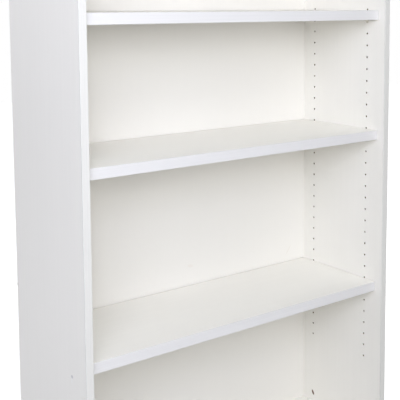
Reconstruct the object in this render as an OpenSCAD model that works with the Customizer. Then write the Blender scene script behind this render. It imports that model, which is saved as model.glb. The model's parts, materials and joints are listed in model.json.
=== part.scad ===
// Tall open bookcase in white melamine-faced board, with four adjustable shelves.
// Line-bored sides take plug-in shelf supports at the 32 mm pitch, and cams, bolts
// and dowels hold the carcass together. Millimetres, +Z up, front towards -Y.
// The origin is on the floor, under the middle of the carcass.

/* [Carcass] */
// Overall width
width = 900; // [700:1:1200]
// Overall depth, with the front edge bands
depth = 340; // [300:1:450]
// Overall height, with the glides
height = 1800; // [1600:1:2200]
// Thickness of the sides and of the plinth board
side_t = 18; // [16:1:22]
// Thickness of the top and bottom boards
deck_t = 25; // [18:1:32]
// Underside of the bottom board above the floor
bottom_rise = 86; // [80:1:150]
// Distance of the plinth behind the front edges of the sides
plinth_setback = 30; // [2:1:60]
// Gap between the plinth and the floor
plinth_lift = 6; // [5:1:12]

/* [Edge bands] */
// Thickness of the edge band
band_t = 2; // [1:0.5:3]
// Radius along both long edges of a band
band_r = 1.2; // [0.4:0.1:2]

/* [Back] */
// Thickness of the back panel
back_t = 6; // [3:0.5:10]
// Width of side left standing behind the back panel
back_lip = 17; // [10:1:40]
// Depth of the groove that holds the back panel
groove_depth = 8; // [4:0.5:9]
// Extra width of the groove behind the panel
groove_play = 0.4; // [0.2:0.1:1]
// Gap between the panel's edge and the floor of its groove
groove_end_gap = 0.5; // [0.3:0.1:2]
// Number of screws from the back panel into the bottom board
back_screws_n = 5; // [3:1:9]
// Diameter of a back screw's shank
screw_d = 3.5; // [3:0.5:4]
// Length of a back screw
screw_l = 25; // [16:1:40]

/* [Shelves] */
// Thickness of an adjustable shelf
shelf_t = 25; // [18:1:38]
// Distance of a shelf's front behind the front edges of the sides
shelf_setback = 24; // [4:1:50]
// Gap between a shelf's end and the side, at each end
shelf_end_gap = 1; // [0.5:0.1:2]
// Gap between a shelf's rear edge and the back panel
shelf_rear_gap = 2; // [0.5:0.5:10]
// Row that holds shelf 1, counted up from the lowest
shelf_1_row = 6; // [0:1:12]
// Row that holds shelf 2, counted up from the lowest
shelf_2_row = 19; // [14:1:22]
// Row that holds shelf 3, counted down from the highest
shelf_3_row_down = 10; // [6:1:13]
// Row that holds shelf 4, counted down from the highest
shelf_4_row_down = 2; // [0:1:4]

/* [Line boring] */
// Distance between two rows of holes
hole_pitch = 32; // [25:1:40]
// Diameter of a support hole
hole_d = 5; // [4:0.5:7]
// Depth of a support hole
hole_depth = 10; // [9:0.5:12]
// Distance of the front column behind the front edges of the sides
front_column = 65; // [50:1:90]
// Distance from the front column to the rear column
column_gap = 208; // [128:1:220]
// Least distance from a deck to the nearest row
row_margin = 208; // [96:1:300]

/* [Shelf supports] */
// Length of the peg in its hole
peg_l = 8.5; // [6:0.5:8.5]
// Radial clearance of the peg
peg_clearance = 0.05; // [0.02:0.01:0.1]
// Height of the bearing face above the hole's axis
bearing_rise = 5; // [4.5:0.5:8]
// Width of the bearing tongue
tongue_w = 12; // [8:1:20]
// Reach of the bearing tongue under the shelf
tongue_l = 11; // [8:1:16]
// Thickness of the bearing tongue
tongue_t = 2.4; // [1.5:0.1:3]
// Radius of the tongue's two front corners
tongue_r = 3; // [1:0.5:4]
// Thickness of the flange that lies against the side
flange_t = 1.4; // [1:0.1:2]
// Radius of the flange round the peg
flange_r = 4.5; // [4:0.1:5]
// Thickness of the rib under the tongue
rib_t = 2.4; // [1.5:0.1:4]

/* [Fittings] */
// Diameter of a cam
cam_d = 15; // [12:0.5:18]
// Distance from the joint to the cam's centre
cam_reach = 34; // [24:1:40]
// Distance of the cam's pocket from its axis
cam_throw = 0.8; // [0.4:0.1:1.2]
// Diameter of a cam bolt's thread, and of its hole in a face
bolt_thread_d = 5; // [4:0.5:6]
// Length of thread in the facing board
bolt_thread_l = 11; // [8:0.5:11.5]
// Diameter of a cam bolt's shank
bolt_shank_d = 6; // [5:0.5:7]
// Diameter of a cam bolt's round head
bolt_head_d = 7; // [6:0.5:7]
// Diameter of the neck behind the head
bolt_neck_d = 4; // [3:0.5:4.5]
// Diameter of the shank's hole in a board's end
bolt_hole_d = 8; // [7.5:0.5:9]
// Diameter of a wooden dowel
dowel_d = 8; // [6:0.5:8]
// Length of a dowel in the end-bored board
dowel_end_l = 20; // [15:1:25]
// Length of a dowel in the face-bored board
dowel_face_l = 10; // [8:0.5:11.5]
// Distance of the outer fittings from the front edges and from the back panel
fitting_inset = 48; // [40:1:60]
// Distance from a cam bolt to its dowel
dowel_offset = 32; // [20:1:50]
// Height of the plinth's cam bolts above its lower edge
plinth_bolt_rise = 24; // [12:1:30]
// Height of the plinth's dowels above its lower edge
plinth_dowel_rise = 56; // [46:1:62]
// Thickness of a cam cover above the board
cover_t = 0.6; // [0.3:0.1:0.6]
// How far a cam cover laps over the board round the cam
cover_lap = 1.2; // [0.5:0.1:3]
// Clearance all round a fitting in its bore
fit_gap = 0.1; // [0.05:0.05:0.2]

/* [Glides] */
// Height of a glide under the side
glide_h = 5; // [3:0.5:5]
// Diameter of a glide
glide_d = 16; // [12:0.5:16]
// Distance of a glide's centre from the side's front or rear edge
glide_inset = 30; // [26:1:60]
// Diameter of a glide's nail
nail_d = 2.2; // [1.8:0.1:3]
// Length of a glide's nail in the board
nail_l = 14; // [10:1:20]

/* [Hidden] */
SIDES = ["left", "right"];
COLUMNS = ["front", "rear"];
SHELVES = [1 : 4];

// Colours of the pieces
board_white = "#F1F0EC";
band_white = "#F2F3F6";
hardboard_white = "#EFEEE9";
zinc_grey = "#9A9B9C";
beech = "#D9B98A";
glide_black = "#2B2B2B";

// Cutters reach this far past the face they start from
over = 0.5;

// Signs of the two sides along X
signs = [-1, 1];

// Main planes of the carcass
inner_w = width - 2 * side_t;
front_y = -depth / 2;
rear_y = depth / 2;
board_front_y = front_y + band_t;
back_y = rear_y - back_lip - back_t;
deck_low_z = bottom_rise + deck_t;
deck_high_z = height - deck_t;
side_h = deck_high_z - glide_h;
groove_w = back_t + groove_play;

// Rows and columns of support holes
row_span = deck_high_z - deck_low_z - 2 * row_margin;
rounding = 0.001;
rows_n = floor(row_span / hole_pitch + rounding) + 1;
column_ys = [front_y + front_column, front_y + front_column + column_gap];
shelf_rows = [
    shelf_1_row, shelf_2_row,
    rows_n - 1 - shelf_3_row_down, rows_n - 1 - shelf_4_row_down
];

// Shelf outline in plan
shelf_w = inner_w - 2 * shelf_end_gap;
shelf_front_y = front_y + shelf_setback;
shelf_rear_y = back_y - shelf_rear_gap;

// Fittings: a bolt's axis runs at the middle of the side's thickness
bolt_axis = side_t / 2;
cam_lip = 1;
cam_h = bolt_axis + bolt_head_d / 2 + cam_lip;
head_play = 1;
neck_play = 0.8;
end_play = 0.5;
dowel_chamfer = 1;
deck_bolt_ys = [front_y + fitting_inset, back_y - fitting_inset];
deck_dowel_ys = [deck_bolt_ys[0] + dowel_offset, deck_bolt_ys[1] - dowel_offset];
plinth_y = front_y + plinth_setback;
plinth_h = bottom_rise - plinth_lift;
plinth_bolt_z = plinth_lift + plinth_bolt_rise;
plinth_dowel_z = plinth_lift + plinth_dowel_rise;

// Height of a row of support holes, counted up from the lowest
function row_z(row) = deck_low_z + row_margin + row * hole_pitch;

// Underside of shelf n
function shelf_z(n) = row_z(shelf_rows[n - 1]) + bearing_rise;

// Inner face of the side with this sign
function inner_x(s) = s * inner_w / 2;

// Lower X of a side board
function side_x(s) = s > 0 ? inner_w / 2 : -inner_w / 2 - side_t;

// ---- Placing ----

// Turns a child that is drawn for the right side to face the side with sign s
module facing(s) {
    rotate([0, 0, s > 0 ? 0 : 180]) children();
}

// The joints below share one local frame. The end-bored board fills x < 0 and
// the face-bored board x > 0, and the cam's open face lies on z = 0.
module at_bottom_joints(ys, sides = signs) {
    for (s = sides, y = ys)
        translate([inner_x(s), y, bottom_rise])
            facing(s) rotate([180, 0, 0]) children();
}

module at_top_joints(ys, sides = signs) {
    for (s = sides, y = ys)
        translate([inner_x(s), y, deck_high_z])
            facing(s) rotate([0, -90, 0]) children();
}

module at_plinth_joints(z, sides = signs) {
    for (s = sides)
        translate([inner_x(s), plinth_y + side_t, z])
            facing(s) rotate([-s * 90, 0, 0]) children();
}

// All joints that have a cam and bolt, and all that have a dowel
module at_bolts() {
    at_bottom_joints(deck_bolt_ys) children();
    at_top_joints(deck_bolt_ys) children();
    at_plinth_joints(plinth_bolt_z) children();
}

module at_dowels() {
    at_bottom_joints(deck_dowel_ys) children();
    at_top_joints(deck_dowel_ys) children();
    at_plinth_joints(plinth_dowel_z) children();
}

// Screw places in the back panel, spaced evenly along the bottom board
module at_back_screws() {
    spacing = inner_w / back_screws_n;
    for (i = [0 : back_screws_n - 1])
        translate([
            (i + 0.5) * spacing - inner_w / 2,
            back_y + back_t,
            bottom_rise + deck_t / 2
        ]) rotate([90, 0, 0]) children();
}

// Glide places under the side boards
module at_glides(sides = signs) {
    for (s = sides, y = [front_y + glide_inset, rear_y - glide_inset])
        translate([s * (inner_w + side_t) / 2, y, 0]) children();
}

// ---- Fittings ----

// Eccentric cam, open below: a way in for the bolt's head, a pocket set off centre
// so that its wall draws the head inwards as the cam turns, a curved slot for the
// bolt's neck, and a cross recess for the driver
module cam() {
    recess_l = 0.5 * cam_d;
    recess_w = 1.2;
    recess_h = 2.2;
    way_w = bolt_head_d + head_play;
    way_h = cam_h - bolt_axis + way_w / 2 + over;
    slot_h = bolt_neck_d + neck_play;
    lock_angle = 150;
    translate([-cam_reach, 0, 0]) difference() {
        translate([0, 0, -cam_h]) cylinder(d = cam_d, h = cam_h, $fn = 48);
        rotate([0, 0, -lock_angle]) translate([0, 0, -cam_h - over]) {
            translate([cam_throw, 0, 0])
                cylinder(r = way_w / 2 + cam_throw, h = way_h, $fn = 48);
            translate([0, -way_w / 2, 0]) cube([cam_d, way_w, way_h]);
        }
        translate([0, 0, -bolt_axis]) {
            rotate([0, 0, -lock_angle])
                rotate_extrude(angle = lock_angle, $fn = 48)
                    translate([slot_h / 2, -slot_h / 2]) square([cam_d, slot_h]);
            rotate([0, 90, 0]) cylinder(d = slot_h, h = cam_d, $fn = 48);
        }
        for (a = [0, 90])
            rotate([0, 0, a])
                translate([-recess_l / 2, -recess_w / 2, -recess_h])
                    cube([recess_l, recess_w, recess_h + over]);
    }
}

// Bolt that screws into the face-bored board and is drawn by the cam
module cam_bolt() {
    neck_l = cam_d / 2 + end_play;
    head_r = bolt_head_d / 2;
    tip_r = 0.6 * head_r;
    rim_h = 0.3 * head_r;
    head_h = 0.8 * head_r;
    neck_r = bolt_neck_d / 2;
    translate([-cam_reach, 0, -bolt_axis]) rotate([0, 90, 0]) {
        rotate_extrude($fn = 32)
            polygon([
                [0, -head_h], [tip_r, -head_h], [head_r, -rim_h], [head_r, rim_h],
                [neck_r, head_h], [neck_r, neck_l], [0, neck_l]
            ]);
        translate([0, 0, neck_l])
            cylinder(d = bolt_shank_d, h = cam_reach - neck_l, $fn = 32);
        translate([0, 0, cam_reach])
            cylinder(d = bolt_thread_d, h = bolt_thread_l, $fn = 32);
    }
}

// Bores in the end-bored board for a cam and its bolt
module cam_bores() {
    bore_h = cam_h + end_play;
    translate([-cam_reach, 0, -bore_h])
        cylinder(d = cam_d + 2 * fit_gap, h = bore_h + over, $fn = 48);
    translate([-cam_reach, 0, -bolt_axis]) rotate([0, 90, 0])
        cylinder(d = bolt_hole_d, h = cam_reach + over, $fn = 32);
}

// Bore in the face-bored board for a bolt's thread
module thread_bore() {
    translate([-over, 0, -bolt_axis]) rotate([0, 90, 0])
        cylinder(
            d = bolt_thread_d + 2 * fit_gap,
            h = over + bolt_thread_l + end_play, $fn = 32
        );
}

// Wooden dowel with chamfered ends
module dowel() {
    r = dowel_d / 2;
    total_l = dowel_end_l + dowel_face_l;
    translate([-dowel_end_l, 0, -bolt_axis]) rotate([0, 90, 0])
        rotate_extrude($fn = 32)
            polygon([
                [0, 0], [r - dowel_chamfer, 0], [r, dowel_chamfer],
                [r, total_l - dowel_chamfer], [r - dowel_chamfer, total_l], [0, total_l]
            ]);
}

// Bores for a dowel, in the end-bored and in the face-bored board
module dowel_end_bore() {
    translate([-dowel_end_l - end_play, 0, -bolt_axis]) rotate([0, 90, 0])
        cylinder(
            d = dowel_d + 2 * fit_gap,
            h = end_play + dowel_end_l + over, $fn = 32
        );
}

module dowel_face_bore() {
    translate([-over, 0, -bolt_axis]) rotate([0, 90, 0])
        cylinder(
            d = dowel_d + 2 * fit_gap,
            h = over + dowel_face_l + end_play, $fn = 32
        );
}

// Thin cover stuck over a cam that faces the shelves
module cam_cover() {
    r = cam_d / 2 + cover_lap;
    rim_h = 0.3 * cover_t;
    translate([-cam_reach, 0, 0])
        rotate_extrude($fn = 48)
            polygon([[0, 0], [r, 0], [r, rim_h], [r - cover_t, cover_t], [0, cover_t]]);
}

// Countersunk screw, its head on z = 0 and its point along +Z
module back_screw() {
    r = screw_d / 2;
    rotate_extrude($fn = 32)
        polygon([[0, 0], [2 * r, 0], [r, r], [r, screw_l - 2 * r], [0, screw_l]]);
}

module back_screw_bore() {
    r = screw_d / 2;
    head_r = 2 * r + fit_gap;
    rotate_extrude($fn = 32)
        polygon([
            [0, -over], [head_r, -over], [head_r, 0], [r + fit_gap, r],
            [r + fit_gap, screw_l + end_play], [0, screw_l + end_play]
        ]);
}

// Glide: a plastic foot with a round rim, and the nail that holds it
module glide() {
    r = glide_d / 2;
    nail_r = nail_d / 2;
    rim_r = 1.6;
    rim = [
        for (a = [0 : 15 : 90])
            [r - rim_r + rim_r * sin(a), rim_r - rim_r * cos(a)]
    ];
    rotate_extrude($fn = 48)
        polygon(concat([[0, 0]], rim, [
            [r, glide_h], [nail_r, glide_h],
            [nail_r, glide_h + nail_l - 2 * nail_r], [0, glide_h + nail_l]
        ]));
}

// ---- Edge bands ----

// Section of a band w wide: inner face on y = band_t, outer face on y = 0 with
// both corners rounded
module band_section(w) {
    r = min(band_r, 0.9 * band_t);
    translate([r, 0]) square([w - 2 * r, band_t]);
    translate([0, r]) square([w, band_t - r]);
    intersection() {
        square([w, band_t]);
        for (x = [r, w - r]) translate([x, r]) circle(r, $fn = 32);
    }
}

// Band on a front edge that runs along X, from x0 and with its top at z1
module band_along_x(x0, l, z1, w, y) {
    color(band_white)
        translate([x0, y, z1]) rotate([0, 90, 0])
            linear_extrude(l) band_section(w);
}

// ---- Carcass ----

// Side board with its groove, its line boring and its fitting bores
module side_board(s) {
    color(board_white) difference() {
        translate([side_x(s), board_front_y, glide_h])
            cube([side_t, depth - band_t, side_h]);
        side_groove(s);
        line_boring(s);
        at_top_joints(deck_bolt_ys, [s]) cam_bores();
        at_top_joints(deck_dowel_ys, [s]) dowel_end_bore();
        at_bottom_joints(deck_bolt_ys, [s]) thread_bore();
        at_bottom_joints(deck_dowel_ys, [s]) dowel_face_bore();
        at_plinth_joints(plinth_bolt_z, [s]) thread_bore();
        at_plinth_joints(plinth_dowel_z, [s]) dowel_face_bore();
        at_glides([s]) translate([0, 0, glide_h - over])
            cylinder(d = nail_d + 2 * fit_gap, h = over + nail_l + end_play, $fn = 24);
    }
}

// Groove for the back panel, from end to end of the side
module side_groove(s) {
    x0 = s > 0 ? inner_x(s) - over : inner_x(s) - groove_depth;
    translate([x0, back_y, glide_h - over])
        cube([groove_depth + over, groove_w, side_h + 2 * over]);
}

// Two columns of blind support holes
module line_boring(s) {
    for (y = column_ys, row = [0 : rows_n - 1])
        translate([inner_x(s) - s * over, y, row_z(row)])
            rotate([0, s * 90, 0])
                cylinder(d = hole_d, h = hole_depth + over, $fn = 24);
}

// Band on the front edge of a side
module side_band(s) {
    color(band_white)
        translate([side_x(s), front_y, glide_h])
            linear_extrude(side_h) band_section(side_t);
}

// Top board, laid over both sides
module top_board() {
    color(board_white) difference() {
        translate([-width / 2 + band_t, board_front_y, deck_high_z])
            cube([width - 2 * band_t, depth - band_t, deck_t]);
        translate([-inner_w / 2 - groove_depth, back_y, deck_high_z - over])
            cube([inner_w + 2 * groove_depth, groove_w, groove_depth + over]);
        at_top_joints(deck_bolt_ys) thread_bore();
        at_top_joints(deck_dowel_ys) dowel_face_bore();
    }
}

module top_band_front() {
    band_along_x(-width / 2, width, height, deck_t, front_y);
}

// Band on one end of the top board
module top_band_end(s) {
    color(band_white)
        translate([s * width / 2, board_front_y, s > 0 ? height : deck_high_z])
            rotate([0, s * 90, s * 90])
                linear_extrude(depth - band_t) band_section(deck_t);
}

// Bottom board, held between the sides
module bottom_board() {
    color(board_white) difference() {
        translate([-inner_w / 2, board_front_y, bottom_rise])
            cube([inner_w, back_y - board_front_y, deck_t]);
        at_bottom_joints(deck_bolt_ys) cam_bores();
        at_bottom_joints(deck_dowel_ys) dowel_end_bore();
        at_back_screws() back_screw_bore();
    }
}

module bottom_band() {
    band_along_x(-inner_w / 2, inner_w, deck_low_z, deck_t, front_y);
}

// Plinth board under the bottom board
module plinth() {
    color(board_white) difference() {
        translate([-inner_w / 2, plinth_y, plinth_lift])
            cube([inner_w, side_t, plinth_h]);
        at_plinth_joints(plinth_bolt_z) cam_bores();
        at_plinth_joints(plinth_dowel_z) dowel_end_bore();
    }
}

// Back panel in its grooves, with its foot behind the bottom board
module back_panel() {
    panel_w = inner_w + 2 * (groove_depth - groove_end_gap);
    panel_top_z = deck_high_z + groove_depth - groove_end_gap;
    color(hardboard_white) difference() {
        translate([-panel_w / 2, back_y, bottom_rise])
            cube([panel_w, back_t, panel_top_z - bottom_rise]);
        at_back_screws() back_screw_bore();
    }
}

module back_screws() {
    color(zinc_grey) at_back_screws() back_screw();
}

module cams() {
    color(zinc_grey) at_bolts() cam();
}

module cam_bolts() {
    color(zinc_grey) at_bolts() cam_bolt();
}

module dowels() {
    color(beech) at_dowels() dowel();
}

module cam_covers() {
    color(board_white) at_top_joints(deck_bolt_ys) cam_cover();
}

module glides() {
    color(glide_black) at_glides() glide();
}

// ---- Adjustable shelves ----

module shelf(n) {
    board_y = shelf_front_y + band_t;
    color(board_white)
        translate([-shelf_w / 2, board_y, shelf_z(n)])
            cube([shelf_w, shelf_rear_y - board_y, shelf_t]);
}

module shelf_band(n) {
    band_along_x(-shelf_w / 2, shelf_w, shelf_z(n) + shelf_t, shelf_t, shelf_front_y);
}

// Plug-in support: a peg, a flange that lies against the side, and a tongue with
// a rib that carries the shelf. The hole's axis is X, and the side fills x < 0.
module support() {
    peg_r = hole_d / 2 - peg_clearance;
    peg_chamfer = 0.6;
    color(zinc_grey) union() {
        translate([-peg_l, 0, 0]) rotate([0, 90, 0])
            rotate_extrude($fn = 32)
                polygon([
                    [0, 0], [peg_r - peg_chamfer, 0], [peg_r, peg_chamfer],
                    [peg_r, peg_l + flange_t / 2], [0, peg_l + flange_t / 2]
                ]);
        rotate([90, 0, 90]) linear_extrude(flange_t) flange_outline();
        translate([0, 0, bearing_rise - tongue_t])
            linear_extrude(tongue_t) tongue_outline();
        translate([0, rib_t / 2, 0]) rotate([90, 0, 0])
            linear_extrude(rib_t) rib_outline();
    }
}

// Round below the hole's axis and square above it, up to the bearing face
module flange_outline() {
    circle(flange_r, $fn = 48);
    translate([-flange_r, 0]) square([2 * flange_r, bearing_rise]);
}

// Seen from above, with two round corners at the free end
module tongue_outline() {
    translate([0, -tongue_w / 2]) square([tongue_l - tongue_r, tongue_w]);
    translate([0, -tongue_w / 2 + tongue_r]) square([tongue_l, tongue_w - 2 * tongue_r]);
    for (s = signs)
        translate([tongue_l - tongue_r, s * (tongue_w / 2 - tongue_r)])
            circle(tongue_r, $fn = 32);
}

// Seen from the front, under the tongue
module rib_outline() {
    foot_z = -0.8 * flange_r;
    head_z = bearing_rise - tongue_t;
    polygon([
        [0, head_z], [tongue_l - tongue_r, head_z], [flange_t, foot_z], [0, foot_z]
    ]);
}

// The support of shelf n on the side with sign s, in column c
module shelf_support(n, s, c) {
    translate([inner_x(s), column_ys[c], row_z(shelf_rows[n - 1])])
        facing(-s) support();
}

// ---- Nodes ----

for (s = [0, 1]) {
    side_board(signs[s]);
    side_band(signs[s]);
    top_band_end(signs[s]);
}
top_board();
top_band_front();
bottom_board();
bottom_band();
plinth();
back_panel();
back_screws();
cams();
cam_bolts();
dowels();
cam_covers();
glides();
for (n = SHELVES) {
    shelf(n);
    shelf_band(n);
    for (s = [0, 1], c = [0, 1])
        shelf_support(n, signs[s], c);
}
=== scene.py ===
"""Finishes for a tall bookcase in white melamine-faced chipboard: boards and edge bands, back
panel, shelf supports, the fittings inside the boards, and a plain studio stage. Everything is
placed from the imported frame."""

import json
import math

import bpy
import numpy as np
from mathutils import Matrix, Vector

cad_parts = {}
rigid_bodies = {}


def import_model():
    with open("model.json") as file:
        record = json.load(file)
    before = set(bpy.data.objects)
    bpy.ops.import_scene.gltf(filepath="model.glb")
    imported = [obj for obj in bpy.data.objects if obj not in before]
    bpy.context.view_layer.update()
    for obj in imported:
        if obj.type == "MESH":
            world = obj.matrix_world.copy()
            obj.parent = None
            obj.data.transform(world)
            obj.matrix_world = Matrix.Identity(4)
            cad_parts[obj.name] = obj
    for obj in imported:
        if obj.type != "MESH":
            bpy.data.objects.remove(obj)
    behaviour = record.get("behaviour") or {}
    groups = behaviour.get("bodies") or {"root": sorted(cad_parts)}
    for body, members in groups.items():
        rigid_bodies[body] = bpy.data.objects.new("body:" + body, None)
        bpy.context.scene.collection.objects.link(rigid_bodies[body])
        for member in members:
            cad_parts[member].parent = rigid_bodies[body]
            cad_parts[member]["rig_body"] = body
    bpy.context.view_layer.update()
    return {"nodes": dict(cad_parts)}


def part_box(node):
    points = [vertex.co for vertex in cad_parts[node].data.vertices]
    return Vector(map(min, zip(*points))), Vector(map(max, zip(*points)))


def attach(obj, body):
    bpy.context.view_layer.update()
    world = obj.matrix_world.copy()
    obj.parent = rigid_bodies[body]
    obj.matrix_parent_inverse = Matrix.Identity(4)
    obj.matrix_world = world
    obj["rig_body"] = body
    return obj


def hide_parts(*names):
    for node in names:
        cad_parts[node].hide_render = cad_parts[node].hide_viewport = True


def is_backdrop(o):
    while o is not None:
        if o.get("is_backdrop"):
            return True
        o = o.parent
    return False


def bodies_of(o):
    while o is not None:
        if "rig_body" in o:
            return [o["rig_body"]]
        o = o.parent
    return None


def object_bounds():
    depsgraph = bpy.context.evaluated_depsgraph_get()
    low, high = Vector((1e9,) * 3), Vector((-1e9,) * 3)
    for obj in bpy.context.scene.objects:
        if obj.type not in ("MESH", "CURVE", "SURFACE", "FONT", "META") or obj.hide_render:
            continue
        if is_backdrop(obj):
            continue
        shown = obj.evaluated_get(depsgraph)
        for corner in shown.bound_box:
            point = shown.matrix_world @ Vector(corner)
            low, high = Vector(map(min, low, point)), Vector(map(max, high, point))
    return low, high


bl_info = {
    "name": "Adjustable bookcase finishes",
    "version": (1, 0, 0),
    "blender": (4, 5, 0),
    "location": "3D View > Sidebar > Bookcase",
    "description": "Materials, turned fittings and a studio stage for a line-bored bookcase",
    "category": "Object",
}

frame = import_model()
NODES = frame["nodes"]
MM = 0.001
X, Y, Z = 0, 1, 2
SHELVES = range(1, 5)
SIDES = ("left", "right")
COLUMNS = ("front", "rear")
SENSOR = 36.0  # the camera's, mm
SHARP = math.radians(35)  # edges that turn further than this stay sharp
FULL_TURN = 2 * np.pi
BOLT_TIP, DOWEL_TIP = 11.0, 10.0  # how far bolts and dowels reach past their joint, mm
PEG, BEARING = 8.5, 5.0  # a shelf support's peg, and its hole's centre below the shelf, mm


def linear(code):
    """An sRGB hex colour as linear red, green and blue."""
    parts = [int(code[i : i + 2], 16) / 255 for i in (1, 3, 5)]
    return tuple(c / 12.92 if c <= 0.04045 else ((c + 0.055) / 1.055) ** 2.4 for c in parts)


# Wear on the faces that look to the left: place (y, z), radii and turn of each mark in mm and
# radians, its colour and its depth in mm. A knock has broken the foil of the right side, inside
# and low down. The left side's outer face has a rubbed nick with a pale line under it, and a nick
# at its rear edge.
SIDE_MARKS = {
    "left": (
        ((-105, 506), (2, 4.5, 3.5), (0, 0, 0), "#CFCECE", 0.05),
        ((-104, 497), (2, 1.5, 6.0), (0.12, 0, 0), "#F8F8F6", 0.0),
        ((169, 638), (2, 2.2, 4.5), (0, 0, 0), "#6E6660", 0.3),
    ),
    "right": (
        ((102, 137), (2, 3.8, 7.5), (-0.5, 0, 0), "#6B4A36", 0.5),
    ),
}
# A pale smudge and a scratch on the back panel's front face, with places (x, z).
BACK_MARKS = (
    ((25, 594), (9, 2, 4), (0, 0.2, 0), "#EAE6E0", 0.0),
    ((371, 574), (1.2, 2, 16), (0, 0.6, 0), "#E6E2DB", 0.02),
)


# ---- Settings ----


def colour_setting(name, description, code):
    """A colour that the user can change."""
    return bpy.props.FloatVectorProperty(
        name=name, description=description, subtype="COLOR", size=3, default=linear(code),
        min=0, max=1,
    )


def length_setting(name, description, millimetres, largest=100):
    """A length that the user can change."""
    return bpy.props.FloatProperty(
        name=name, description=description, subtype="DISTANCE", unit="LENGTH",
        default=millimetres * MM, min=0, max=largest * MM, precision=5,
    )


def share_setting(name, description, value):
    """A share from 0 to 1 that the user can change."""
    return bpy.props.FloatProperty(
        name=name, description=description, subtype="FACTOR", default=value, min=0, max=1
    )


def power_setting(name, description, watts):
    """The power of a lamp."""
    return bpy.props.FloatProperty(
        name=name, description=description, subtype="POWER", unit="POWER", default=watts,
        min=0, max=2000,
    )


def angle_setting(name, description, degrees):
    """An angle that the user can change."""
    return bpy.props.FloatProperty(
        name=name, description=description, subtype="ANGLE", unit="ROTATION",
        default=math.radians(degrees),
    )


class BookcaseBoardSettings(bpy.types.PropertyGroup):
    """Faces and core of the boards"""

    face: colour_setting("Face", "Melamine-soaked paper on both faces of every board", "#F3F1EB")
    gloss: share_setting("Roughness", "Roughness of the pressed melamine face", 0.42)
    pearl: length_setting(
        "Pearl", "Width of the dimples, drawn wider than the real 0.8 mm to show", 2.4, 10
    )
    foil: length_setting("Foil", "Thickness of face paper that shows at a cut edge", 0.35, 2)
    chip_light: colour_setting("Light chips", "Fresh spruce chips in the core", "#D3B68C")
    chip_dark: colour_setting("Dark chips", "Bark and recycled chips in the core", "#A07E55")
    # Colour of the bore walls: chips burnished by the drill, with painted shade inside the holes.
    burnish_and_shade: colour_setting("Bored wall", "Chips burnished by the drill", "#4A4038")
    chip: length_setting("Chip length", "Length of a chip in the middle of the core", 4.5, 20)


class BookcaseBandSettings(bpy.types.PropertyGroup):
    """Edge bands"""

    shelf: colour_setting(
        "Shelf band", "Extruded ABS band on the shelves, cooler than the board", "#DFDEDE"
    )
    carcass: colour_setting("Carcass band", "Extruded ABS band on the carcass", "#DBDAD6")
    gloss: share_setting("Roughness", "Roughness of the buffed band", 0.34)
    glue: colour_setting("Glue line", "Hot-melt line between board and band", "#D6D1C2")
    glue_line: length_setting("Glue line width", "Width of the hot-melt line", 0.3, 2)


class BookcaseBackSettings(bpy.types.PropertyGroup):
    """Back panel"""

    lacquer: colour_setting("Lacquer", "Lacquer on the face towards the shelves", "#EDEBE6")
    gloss: share_setting("Roughness", "Roughness of the rolled lacquer", 0.5)
    fibre: colour_setting("Fibre", "Pressed fibre on the rear face", "#AE8E66")
    fibre_dark: colour_setting("Dark fibre", "Darker fibre bundles on the rear face", "#8A6B49")


class BookcaseFittingSettings(bpy.types.PropertyGroup):
    """Metal, wood and plastic fittings"""

    nickel: colour_setting("Nickel", "Plating of the shelf supports", "#C8C4BC")
    zinc: colour_setting("Cast zinc", "Bare die-cast cams", "#A9ABAD")
    plate: colour_setting("Zinc plate", "Plating of bolts and screws", "#C4C9CF")
    beech: colour_setting("Beech", "Turned beech dowels", "#D7B78A")
    cover: colour_setting("Cover", "Stick-on covers over the cams", "#EDEDEA")
    glide: colour_setting("Glide", "Moulded polyethylene glides", "#2E2D2B")
    pitch: length_setting("Thread pitch", "Pitch of the wood threads", 1.8, 5)


class BookcaseStageSettings(bpy.types.PropertyGroup):
    """Camera, floor and lamps"""

    eye: bpy.props.FloatVectorProperty(
        name="Eye", description="Where the camera stands", subtype="TRANSLATION", unit="LENGTH",
        default=(-1.244, -1.731, 1.298),
    )
    turn: angle_setting("Turn", "How far the camera turns right from a look along +Y", 39.0)
    tilt: angle_setting("Tilt", "How far the camera looks down", 5.8)
    lens: bpy.props.FloatProperty(
        name="Lens", description="Focal length", unit="CAMERA", default=77.67, min=10, max=300
    )
    shift_x: bpy.props.FloatProperty(
        name="Shift X", description="Lens shift sideways", default=-0.158
    )
    shift_y: bpy.props.FloatProperty(
        name="Shift Y", description="Lens shift upwards", default=-0.275
    )
    key: power_setting("Key", "Soft box in front, on the left", 12.2)
    high_key: power_setting("High key", "Soft box above and left of the key", 5.2)
    window: power_setting("Window", "Broad soft lamp on the left", 26.5)
    fill: power_setting("Fill", "Broad soft lamp straight in front", 20.5)
    top: power_setting("Top", "Large soft box, high in front", 18.4)
    rear: power_setting("Rear", "Soft lamp behind, on the left", 23.4)
    right: power_setting("Right", "Broad soft lamp on the right", 40.0)
    behind: power_setting("Behind", "Broad soft lamp straight behind", 16.0)
    overhead: power_setting("Overhead", "Soft box above, just behind the top board", 12.0)
    room: bpy.props.FloatProperty(
        name="Room", description="Strength of the even room light", default=0.12
    )
    floor: colour_setting("Floor", "Pale painted floor", "#BEBEBC")


class BookcaseSettings(bpy.types.PropertyGroup):
    """All settings of the bookcase"""

    boards: bpy.props.PointerProperty(type=BookcaseBoardSettings)
    bands: bpy.props.PointerProperty(type=BookcaseBandSettings)
    back: bpy.props.PointerProperty(type=BookcaseBackSettings)
    fittings: bpy.props.PointerProperty(type=BookcaseFittingSettings)
    stage: bpy.props.PointerProperty(type=BookcaseStageSettings)


# ---- Materials ----

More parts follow.
